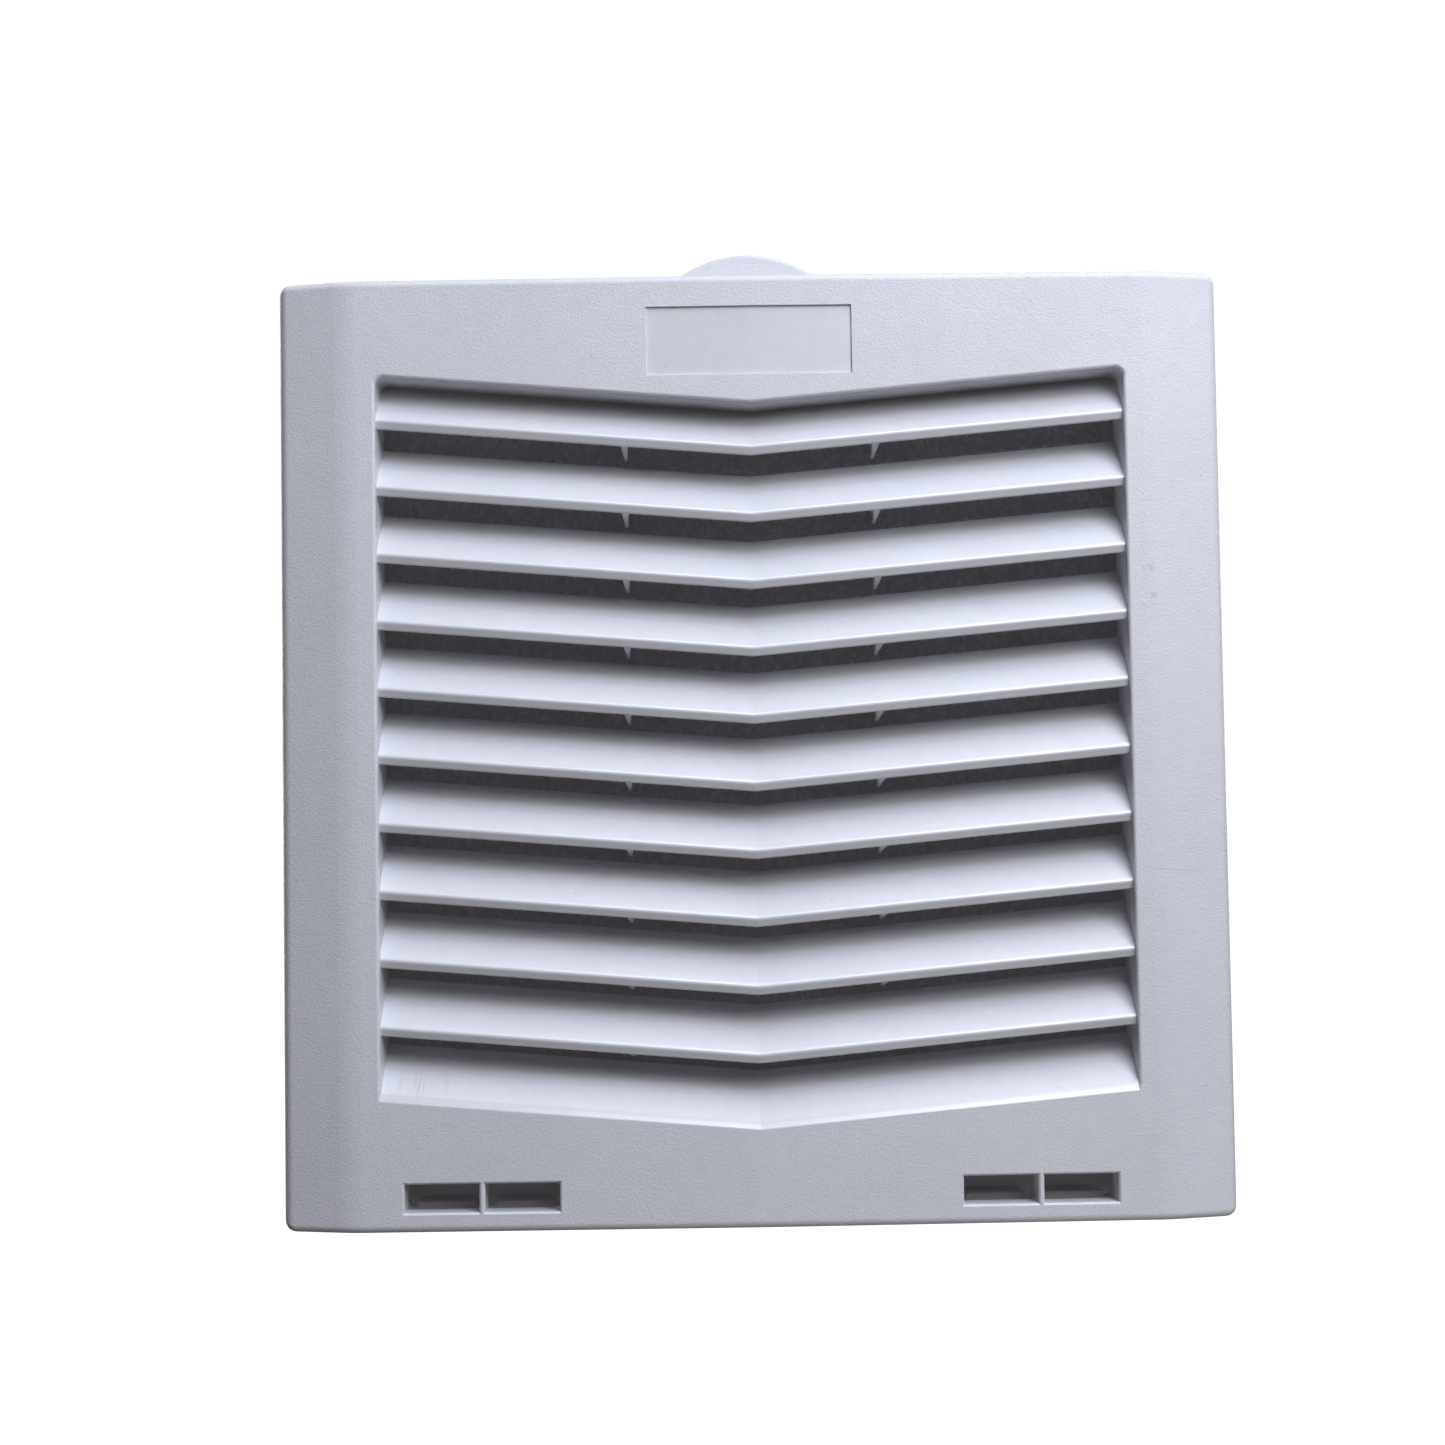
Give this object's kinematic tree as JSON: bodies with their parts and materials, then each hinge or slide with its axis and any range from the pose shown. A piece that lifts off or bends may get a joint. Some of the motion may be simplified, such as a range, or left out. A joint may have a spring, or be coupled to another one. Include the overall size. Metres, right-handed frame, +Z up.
{
  "type": "louvred filter vent cover",
  "caption": "Square louvred vent cover with V-shaped slats that drops down on a bottom hinge over a filter mat in a snap-in wall frame.",
  "frame": {"origin": "centre of the wall plane, on the rear face of the flange gasket", "axes": "+Y points through the wall into the enclosure, +Z up, +X to the right seen from the front"},
  "size_m": [0.255, 0.055, 0.2655],
  "materials": {
    "cover_plastic": "fine moulded grain, light grey",
    "frame_plastic": "smooth moulded, light grey",
    "pawl_plastic": "smooth moulded, light grey",
    "spring_steel": "spring steel",
    "pin_steel": "drawn steel",
    "zinc_screws": "zinc plated",
    "filter_fibre": "needled grey fibre mat",
    "gasket_foam": "closed-cell foam"
  },
  "bodies": {
    "frame": {"filter_mat": "filter_fibre", "flange_gasket": "gasket_foam", "grid_screws": "zinc_screws", "mounting_frame": "frame_plastic", "pawl_pin_bottom": "pin_steel", "pawl_pin_left": "pin_steel", "pawl_pin_right": "pin_steel", "pawl_pin_top": "pin_steel", "pawl_spring_bottom": "spring_steel", "pawl_spring_left": "spring_steel", "pawl_spring_right": "spring_steel", "pawl_spring_top": "spring_steel", "rear_grid": "frame_plastic", "tab_spring_left": "spring_steel", "tab_spring_right": "spring_steel"},
    "cover": {"louvre_cover": "cover_plastic", "hinge_pin_left": "pin_steel", "hinge_pin_right": "pin_steel"},
    "tab": {"release_tab": "cover_plastic"},
    "pawl_top": {"pawl_top": "pawl_plastic"},
    "pawl_right": {"pawl_right": "pawl_plastic"},
    "pawl_bottom": {"pawl_bottom": "pawl_plastic"},
    "pawl_left": {"pawl_left": "pawl_plastic"}
  },
  "joints": [
    {"name": "cover_hinge", "type": "hinge", "parent": "frame", "child": "cover", "pos_m": [0, -0.014, -0.123], "axis": [1, 0, 0], "range_deg": [0, 90]},
    {"name": "tab_press", "type": "slide", "parent": "frame", "child": "tab", "axis": [0, 0, -1], "range_m": [0, 0.0025], "deforming": ["tab_spring_left", "tab_spring_right"]},
    {"name": "pawl_top_swing", "type": "hinge", "parent": "frame", "child": "pawl_top", "pos_m": [0, 0.0195, 0.1076], "axis": [1, 0, 0], "range_deg": [0, 12], "deforming": ["pawl_spring_top"]},
    {"name": "pawl_right_swing", "type": "hinge", "parent": "frame", "child": "pawl_right", "pos_m": [0.1076, 0.0195, 0], "axis": [0, 0, -1], "range_deg": [0, 12], "deforming": ["pawl_spring_right"]},
    {"name": "pawl_bottom_swing", "type": "hinge", "parent": "frame", "child": "pawl_bottom", "pos_m": [0, 0.0195, -0.1076], "axis": [-1, 0, 0], "range_deg": [0, 12], "deforming": ["pawl_spring_bottom"]},
    {"name": "pawl_left_swing", "type": "hinge", "parent": "frame", "child": "pawl_left", "pos_m": [-0.1076, 0.0195, 0], "axis": [0, 0, 1], "range_deg": [0, 12], "deforming": ["pawl_spring_left"]}
  ]
}
